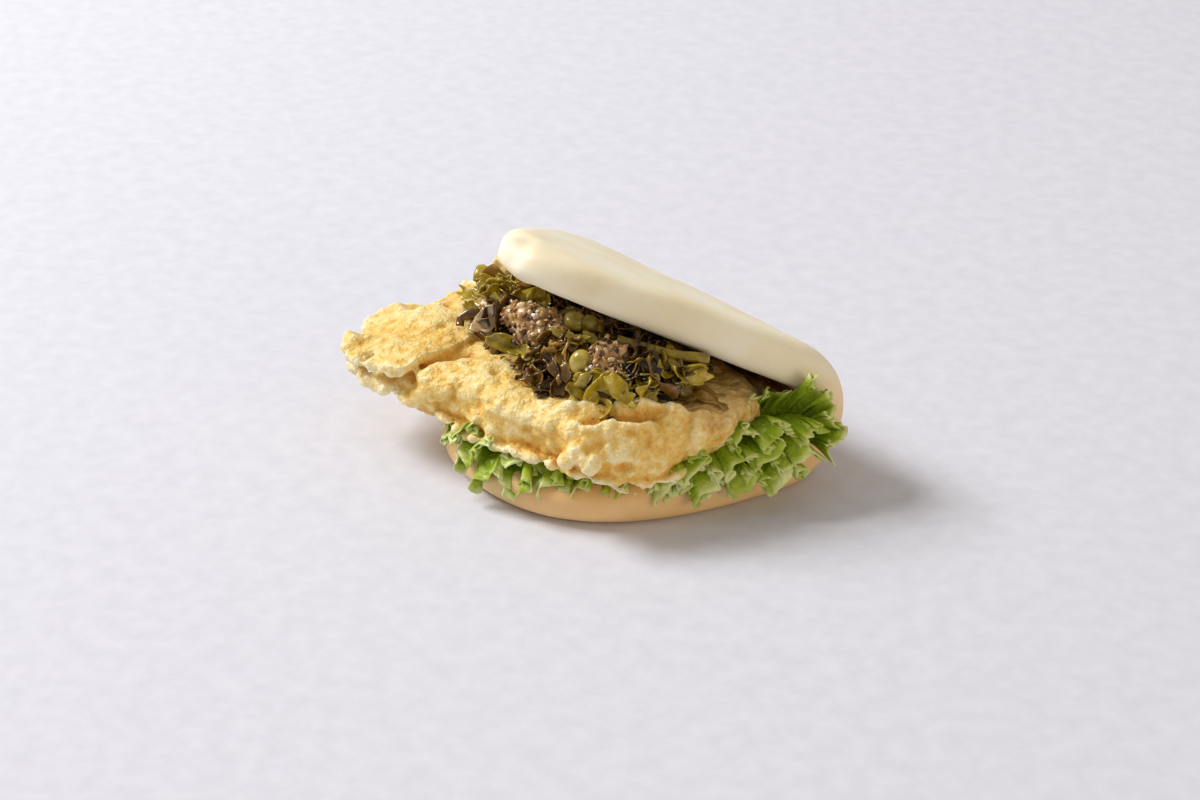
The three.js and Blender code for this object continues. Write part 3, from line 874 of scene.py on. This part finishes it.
def on_heap(x, y, height=0.0):
    """A spot on the heap and the heap's upward direction there."""
    step = 0.8
    slope_x = (heap_height(x + step, y) - heap_height(x - step, y)) / (2 * step)
    slope_y = (heap_height(x, y + step) - heap_height(x, y - step)) / (2 * step)
    normal = np.array([-slope_x, -slope_y, 1.0]).clip(-1, 1)
    normal /= np.linalg.norm(normal)
    return np.array([x, y, max(heap_height(x, y), 31.0)]) + normal * height, normal


def shred(length, width, bend, crumple, seed, rows=16, columns=10):
    """A scrap of leaf about the origin: long in x, wide in y, torn at its edges, creased and crumpled."""
    dice = np.random.default_rng(seed)
    u, v = np.meshgrid(np.linspace(-1, 1, rows), np.linspace(-1, 1, columns), indexing="ij")
    shift = dice.uniform(0, 50)
    torn_ends = cloud(np.stack([v * 1.6 + shift, np.sign(u), 0 * u], axis=-1), 1.0, seed)
    torn_sides = cloud(np.stack([u * 2.4 + shift, np.sign(v), 0 * u], axis=-1), 1.0, seed + 1)
    x = u * length / 2 * (1 + 0.25 * torn_ends)
    y = v * width / 2 * (1 - 0.45 * u**4) * (1 + 0.4 * torn_sides)
    y = y + 0.2 * width * np.sin(1.8 * u + shift)
    place = np.stack([x, y, 0 * x], axis=-1)
    z = crumple * (0.8 * cloud(place, 2.8, seed + 2) + 0.4 * cloud(place, 1.4, seed + 3))
    for _ in range(3):
        way = dice.uniform(0, math.pi)
        depth = dice.uniform(-0.45, 0.45)
        z = z + depth * crumple * np.abs(x * math.cos(way) + y * math.sin(way) + dice.uniform(-1.5, 1.5))
    curl = y / width * bend * 1.5
    z = z + width * 0.3 * (1 - np.cos(curl)) + 0.05 * bend * x**2 / length
    return np.stack([x, y * (0.6 + 0.4 * np.cos(curl)), z], axis=-1)


def tilted_axes(normal, heading, lean, dice):
    """Axes for a scrap that lies along a heading on a surface, tilted at random by up to lean."""
    normal = normal + lean * dice.normal(size=3)
    normal /= np.linalg.norm(normal)
    along = np.array([math.cos(heading), math.sin(heading), 0.0])
    along -= normal * (along @ normal)
    along /= np.linalg.norm(along)
    return np.stack([along, np.cross(normal, along), normal])


# where clumps of mince, beads and the long strip lie on top: (x, y, reach)
kept_clear = [
    (-16, -34, 5.5), (-9, -32, 6.5), (-3, -32, 5.5), (19, -32, 5.5), (21.5, -28, 4.5), (15.5, -37, 4.5),
    (0.6, -27, 4), (5, -25, 3), (18, -23, 3), (25, -18.5, 3.5), (30, -14, 4), (34.5, -9, 4),
]


def scattered_shreds(regions, seed):
    """Scraps over the heap: each region is (middle x, y, spread x, y, count, length, width, lean, shade)."""
    dice = np.random.default_rng(seed)
    parts = []
    for x0, y0, spread_x, spread_y, count, length, width, lean, shade in regions:
        for _ in range(count):
            x, y = x0 + spread_x * dice.uniform(-1, 1), y0 + spread_y * dice.uniform(-1, 1)
            if min(math.hypot(x - a, y - b) - reach for a, b, reach in kept_clear) < 0:
                continue
            spot, normal = on_heap(x, y, dice.uniform(-1.6, 0.5))
            size = dice.uniform(0.6, 1.3)
            sheet = shred(
                length * size, width * size * dice.uniform(0.75, 1.2),
                dice.uniform(0.4, 2.2), dice.uniform(0.5, 1.3), int(dice.integers(1e6)),
            )
            sheet = sheet @ tilted_axes(normal, dice.uniform(0, 2 * math.pi), lean, dice) + spot
            points, faces = thick_sheet(under_the_lobe(sheet), dice.uniform(0.25, 0.45))
            value = shade + 0.16 * dice.normal() + 0.12 * cloud(points, 2.0, 205)
            parts.append((points, faces, {"shade": value}))
    return join_parts(parts)


# dark leaf: soft shreds, near black where they overlap
dark_regions = [
    (-7, -9, 32, 9, 70, 13, 8, 0.3, 0.15),
    (-32, -27, 8, 7, 18, 12, 7, 0.35, 0.55),
    (-1, -38, 10, 4, 26, 9, 6, 0.4, 0.4),
    (5, -41, 8, 2.5, 22, 8, 5.5, 0.5, 0.35),
    (2, -30, 28, 10, 80, 10, 6, 0.35, 0.4),
    (27, -24, 7, 8, 34, 10, 7, 0.4, 0.12),
    (27, -15, 6, 6, 16, 11, 7, 0.35, 0.3),
    (24, -38, 5, 4, 12, 7, 5, 0.5, 0.1),
]
points, faces, values = scattered_shreds(dark_regions, 301)
dark_leaf = wet_food("pickled_mustard_leaf", [
    (0.2, "#1c1006"), (0.42, "#412a0c"), (0.62, "#6d4c14"), (0.85, "#977226"), (1.1, "#bf9c42"),
], 0.22, 0.0006, 600.0, glow=0.3)
dark_leaves = make_piece("greens_dark_leaves", points, faces, dark_leaf, **values)

# yellow-green leaf and stem: paler than the dark leaf, and mostly along the front
bright_regions = [
    (21, -38, 6, 4, 24, 9, 6, 0.5, 0.55),
    (29, -30.5, 4, 4, 16, 9, 6, 0.5, 0.5),
    (-34, -28, 6, 5, 20, 12, 6, 0.35, 0.5),
    (-24, -25, 6, 5, 10, 13, 5.5, 0.3, 0.45),
    (-12, -37, 12, 3, 18, 10, 5, 0.4, 0.35),
    (5, -33, 14, 6, 20, 10, 4, 0.35, 0.5),
    (0, -12, 30, 8, 12, 11, 5, 0.3, 0.3),
    (33, -16, 4, 6, 8, 11, 7, 0.4, 0.45),
]
points, faces, values = scattered_shreds(bright_regions, 302)
bright_leaf = wet_food("pickled_mustard_stem", [
    (0.3, "#433207"), (0.52, "#74600c"), (0.74, "#9f8a16"), (0.96, "#c2ab2e"), (1.2, "#decb72"),
], 0.18, 0.0005, 500.0)
bright_leaves = make_piece("greens_bright_leaves", points, faces, bright_leaf, **values)
for piece in (dark_leaves, bright_leaves):
    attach(piece, "root")
    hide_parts("greens")


def strip(path, width, thickness, seed, cup=0.5, rows=44, columns=9):
    """A strip of stem along a path, its flat side to the front right, cupped and uneven, with blunt ends."""
    line = through_points(path, rows)
    along = np.gradient(line, axis=0)
    along /= np.linalg.norm(along, axis=1, keepdims=True)
    across = np.cross(view_back, along)
    across /= np.linalg.norm(across, axis=1, keepdims=True)
    up = np.cross(along, across)
    v = np.linspace(-1, 1, columns)[None, :, None]
    narrowing = (0.82 + 0.18 * cloud(line, 6.0, seed))[:, None, None]
    sheet = line[:, None] + across[:, None] * v * width / 2 * narrowing - up[:, None] * cup * v**2
    sheet = sheet + 0.25 * cloud(sheet, 2.5, seed + 1)[..., None] * up[:, None]
    return thick_sheet(sheet, thickness * (1 - 0.5 * np.abs(v[..., 0]) ** 4))


def laid_leaf(spot, facing, heading, length, width, bend, crumple, seed):
    """One scrap of leaf that is placed as given: it looks towards facing and lies along heading."""
    normal, along = np.asarray(facing, float), np.asarray(heading, float)
    normal /= np.linalg.norm(normal)
    along -= normal * (along @ normal)
    along /= np.linalg.norm(along)
    sheet = shred(length, width, bend, crumple, seed, rows=28, columns=18)
    sheet = sheet @ np.stack([along, np.cross(normal, along), normal]) + np.asarray(spot, float)
    return thick_sheet(under_the_lobe(sheet), 0.6)


def laid(rows):
    """Parts listed one by one. Each row is what makes the part, its shade, the shade's seed, and the part's measures.
    """
    parts = []
    for make_part, shade, seed, *measures in rows:
        points, faces = make_part(*measures)
        parts.append((points, faces, {"shade": shade + 0.12 * cloud(points, 2.2, seed)}))
    return join_parts(parts)


# the large pieces that lie on top: a long stem strip, a rolled leaf, folded leaves at the front, a bundle at the left
stem_line = [(18.2, -26.8, 45.4), (26.4, -20.4, 43.4), (32.1, -15.5, 42.1), (36.5, -9.4, 40.8)]
points, faces, values = laid([
    (strip, 0.36, 1, stem_line, 2.8, 1.5, 401),
    (strip, 0.62, 2, [(-22, -36, 41), (-20, -29, 43.8), (-17, -22.5, 45.2)], 5.0, 1.2, 402, 1.2),
    (laid_leaf, 0.6, 3, (34.5, -17, 37.0), (0.9, -0.55, 0.45), (0.5, 0.85, 0.05), 15, 9, 1.9, 0.8, 403),
    (laid_leaf, 0.85, 4, (20.5, -42, 36.2), (0.6, -0.9, 0.3), (0.2, 0.1, 1), 9, 5, 1.2, 0.8, 404),
    (laid_leaf, 0.62, 5, (25, -39.5, 37.0), (0.7, -0.7, 0.4), (0.5, 0.5, 0.8), 10, 6, 1.6, 0.9, 405),
    (laid_leaf, 0.7, 6, (29.5, -35.5, 37.6), (0.8, -0.6, 0.5), (0.6, 0.6, -0.6), 10, 6.5, 1.4, 0.9, 406),
    (laid_leaf, 0.55, 7, (32.5, -30.5, 36.4), (0.8, -0.6, 0.4), (0.6, 0.7, 0.4), 9, 6, 1.5, 0.9, 407),
    (laid_leaf, 0.55, 8, (-33.5, -25.5, 43.6), (0.3, -0.5, 1), (0.75, 0.65, 0), 12, 6, 2.0, 0.7, 408),
    (laid_leaf, 0.6, 9, (-25, -24.5, 43.2), (0.6, -0.8, 0.8), (0.7, 0.6, 0), 10, 6, 1.4, 0.8, 409),
    (laid_leaf, 0.8, 10, (-40.5, -30, 37.5), (0.2, -0.7, 0.8), (0.8, 0.2, 0), 9, 4, 1.2, 0.8, 410),
    (laid_leaf, 0.45, 11, (-12, -38.5, 36.0), (0.4, -1, 0.5), (0.9, -0.1, 0), 14, 6, 1.6, 0.8, 411),
    (laid_leaf, 0.7, 12, (6.5, -33, 43.4), (0.5, -0.6, 1), (0.75, 0.6, 0), 10, 3.6, 1.2, 0.5, 412),
    (laid_leaf, 1.0, 13, (32, -35.3, 34.2), (0.4, -0.4, 1), (0.7, 0.7, 0), 4.6, 3.4, 0.8, 0.4, 413),
])
large = make_piece("greens_large_pieces", points, faces, bright_leaf, **values)

# a thin leaf, soaked brown and almost clear, that sticks to the batter at the right
brown_leaf = wet_food(
    "oil_soaked_leaf", [(0.2, "#5c3c10"), (0.6, "#8f6a24"), (0.9, "#b8964a")], 0.18, 0.0003, 500.0, glow=0.5
)
points, faces, values = laid([
    (laid_leaf, 0.4, 21, (38.5, -12.5, 32.6), (0.1, 0, 1), (0.66, 0.75, 0), 15, 9, 0.5, 0.7, 421),
    (strip, 0.0, 22, [(-29, -33, 37), (-32, -36.5, 38), (-34, -39.5, 36.5), (-33, -41, 35)], 2.6, 0.9, 422),
    (laid_leaf, 0.25, 23, (-30, -29, 42.4), (0.3, -0.9, 0.7), (0.8, 0.4, 0), 8, 6, 1.4, 0.9, 423),
])
browned = make_piece("greens_brown_pieces", points, faces, brown_leaf, **values)

# shallot: pale and lilac strands, and one clear slice at the left
points, faces, values = laid([
    (strip, 0.45, 31, [(0, -38.5, 39.6), (4, -39.8, 39.6), (9, -39.0, 40.2)], 1.9, 0.8, 431),
    (strip, 0.3, 32, [(-3, -37.0, 40.4), (3, -38.0, 41.0), (9, -36.6, 42.0)], 1.6, 0.7, 432),
    (strip, 0.55, 33, [(2, -41.2, 37.0), (7, -41.6, 37.4), (12, -40.0, 38.6)], 2.2, 0.8, 433),
    (strip, 0.35, 34, [(8, -37.6, 40.6), (12, -37.5, 38.8), (14, -39.5, 37.6)], 1.8, 0.8, 434),
    (laid_leaf, 0.68, 35, (-23.5, -37.5, 39.4), (0.4, -0.9, 0.7), (0.7, 0.1, 0.3), 12, 8, 1.2, 0.5, 435),
])
shallot = wet_food("fried_shallot", [
    (0.3, "#54341f"), (0.6, "#8a6440"), (0.85, "#b6966c"), (1.15, "#d8ccaa"),
], 0.2, 0.0003, 500.0, glow=0.5)
strands = make_piece("shallot_strands", points, faces, shallot, **values)

# round beads of green peppercorn size and up, olive to straw yellow, each a little dented
shaping = bmesh.new()
bmesh.ops.create_icosphere(shaping, subdivisions=4, radius=1.0)
ball_points = np.array([vertex.co[:] for vertex in shaping.verts])
ball_faces = np.array([[vertex.index for vertex in face.verts] for face in shaping.faces])
shaping.free()


def bead(centre, radii, shade, seed):
    points = ball_points * (1 + 0.09 * cloud(ball_points, 0.9, seed))[:, None] * np.asarray(radii) + np.asarray(centre)
    return points, ball_faces, {"shade": shade + 0.15 * cloud(points, 2.0, seed)}


points, faces, values = join_parts([
    bead((15.5, -37.4, 41.0), (3.5, 3.3, 3.6), 0.55, 51),
    bead((0.6, -26.8, 44.4), (3.4, 3.2, 2.9), 0.5, 52),
    bead((4.8, -24.8, 44.2), (3.0, 3.0, 2.8), 0.35, 53),
    bead((-6.0, -22.5, 43.4), (2.0, 1.9, 1.7), 0.65, 54),
    bead((-13.4, -29.4, 43.8), (1.8, 1.6, 1.5), 1.1, 55),
])
bead_skin = wet_food("pickled_bead", [
    (0.3, "#574a0e"), (0.6, "#8f7d22"), (0.9, "#c9b656"), (1.3, "#efe6bc"),
], 0.22, 0.0002, 400.0, glow=0.5)
round_beads = make_piece("greens_beads", points, faces, bead_skin, **values)

# mince: two clumps of fried ground meat. Granules of 1 to 3 mm are set over each clump by Geometry Nodes
clump_step = 0.5
clumps = []
for clump_low, clump_high, lumps in [
    ((-24, -40, 34), (6, -22, 48), [
        ((-17, -34, 41.5), 4.6), ((-12, -33.4, 42.6), 5.4), ((-6.5, -32.2, 42.8), 5.2),
        ((-1.5, -31.4, 42), 4.4), ((-9.5, -35.8, 39.6), 4.6), ((-3.5, -35, 39.8), 4.2),
    ]),
    ((10, -42, 32), (32, -20, 48), [
        ((18.5, -32.5, 42.4), 4.4), ((21.8, -29.6, 43), 4.0), ((20.4, -35.4, 39.8), 4.2),
        ((24, -32.5, 39.4), 3.8), ((16, -29, 43), 3.0),
    ]),
]:
    lump_axes = [np.arange(a, b, clump_step) for a, b in zip(clump_low, clump_high)]
    X, Y, Z = np.meshgrid(*lump_axes, indexing="ij", sparse=True)
    field = 1e3 + 0 * (X + Y + Z)
    for centre, radius in lumps:
        field = smooth_union(field, away_from(centre, X, Y, Z) - radius * 0.8, 1.5)
    field[0], field[-1] = 1, 1
    field[:, 0], field[:, -1] = 1, 1
    field[:, :, 0], field[:, :, -1] = 1, 1
    points, quads = skin_of(field, np.array(clump_low, float), clump_step)
    points = under_the_lobe(points + 0.7 * cloud(points, 2.0, 61)[:, None])
    clumps.append((points, quads, {"shade": 0.45 + 0.3 * cloud(points, 3.0, 62)}))
mince_skin = wet_food("fried_mince", [
    (0.33, "#140d06"), (0.44, "#5a3a18"), (0.62, "#987044"), (0.92, "#c9a06a"), (1.25, "#ead6ac"),
], 0.28, 0.0005, 900.0, glow=0.3)
points, faces, values = join_parts(clumps)
clump_piece = make_piece("mince_clumps", points, faces, mince_skin, **values)

tree = bpy.data.node_groups.new("granules_on_a_clump", "GeometryNodeTree")
tree.interface.new_socket("Geometry", in_out="INPUT", socket_type="NodeSocketGeometry")
size_input = tree.interface.new_socket("Granule radius", in_out="INPUT", socket_type="NodeSocketFloat")
gap_input = tree.interface.new_socket("Least gap", in_out="INPUT", socket_type="NodeSocketFloat")
tree.interface.new_socket("Geometry", in_out="OUTPUT", socket_type="NodeSocketGeometry")
given, result = add(tree, "NodeGroupInput"), add(tree, "NodeGroupOutput")
spots = add(tree, "GeometryNodeDistributePointsOnFaces", {
    "Mesh": given.outputs["Geometry"], "Distance Min": given.outputs["Least gap"], "Density Max": 900000.0, "Seed": 5,
}, distribute_method="POISSON")
granule = add(tree, "GeometryNodeMeshIcoSphere", {"Radius": given.outputs["Granule radius"], "Subdivisions": 2})
spin = add(tree, "FunctionNodeRandomValue", {
    "Min": (0.0, 0.0, 0.0), "Max": (6.28, 6.28, 6.28), "Seed": 6,
}, data_type="FLOAT_VECTOR")
size = add(tree, "FunctionNodeRandomValue", {
    "Min": (0.5, 0.45, 0.4), "Max": (1.45, 1.2, 1.05), "Seed": 7,
}, data_type="FLOAT_VECTOR")
placed = add(tree, "GeometryNodeInstanceOnPoints", {
    "Points": spots.outputs["Points"], "Instance": granule.outputs["Mesh"],
    "Rotation": spin.outputs["Value"], "Scale": size.outputs["Value"],
})
shade = add(tree, "FunctionNodeRandomValue", {2: 0.05, 3: 0.95, "Seed": 8}, data_type="FLOAT")
named = add(tree, "GeometryNodeStoreNamedAttribute", {
    "Geometry": placed.outputs["Instances"], "Name": "shade", "Value": shade.outputs[1],
}, data_type="FLOAT", domain="INSTANCE")
real = add(tree, "GeometryNodeRealizeInstances", {"Geometry": named.outputs["Geometry"]})
lumpy = add(tree, "ShaderNodeTexNoise", {"Scale": 650.0, "Detail": 1.0})
centred = add(tree, "ShaderNodeVectorMath", {0: lumpy.outputs["Color"], 1: (0.5, 0.5, 0.5)}, operation="SUBTRACT")
push = add(tree, "ShaderNodeVectorMath", {0: centred.outputs["Vector"], "Scale": 0.0016}, operation="SCALE")
moved = add(tree, "GeometryNodeSetPosition", {"Geometry": real.outputs["Geometry"], "Offset": push.outputs["Vector"]})
both = add(tree, "GeometryNodeJoinGeometry")
tree.links.new(moved.outputs["Geometry"], both.inputs[0])
tree.links.new(given.outputs["Geometry"], both.inputs[0])
smooth = add(tree, "GeometryNodeSetShadeSmooth", {"Geometry": both.outputs["Geometry"]})
coloured = add(tree, "GeometryNodeSetMaterial", {"Geometry": smooth.outputs["Geometry"], "Material": mince_skin})
tree.links.new(coloured.outputs["Geometry"], result.inputs["Geometry"])

modifier = clump_piece.modifiers.new("granules", "NODES")
modifier.node_group = tree
modifier[size_input.identifier] = 0.00085
modifier[gap_input.identifier] = 0.0012
bpy.context.view_layer.update()
shown = clump_piece.evaluated_get(bpy.context.evaluated_depsgraph_get())
mince = bpy.data.objects.new("fried_mince", bpy.data.meshes.new_from_object(shown))
bpy.context.collection.objects.link(mince)
bpy.data.objects.remove(clump_piece)
for piece in (large, browned, strands, round_beads, mince):
    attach(piece, "root")
    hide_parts("greens")
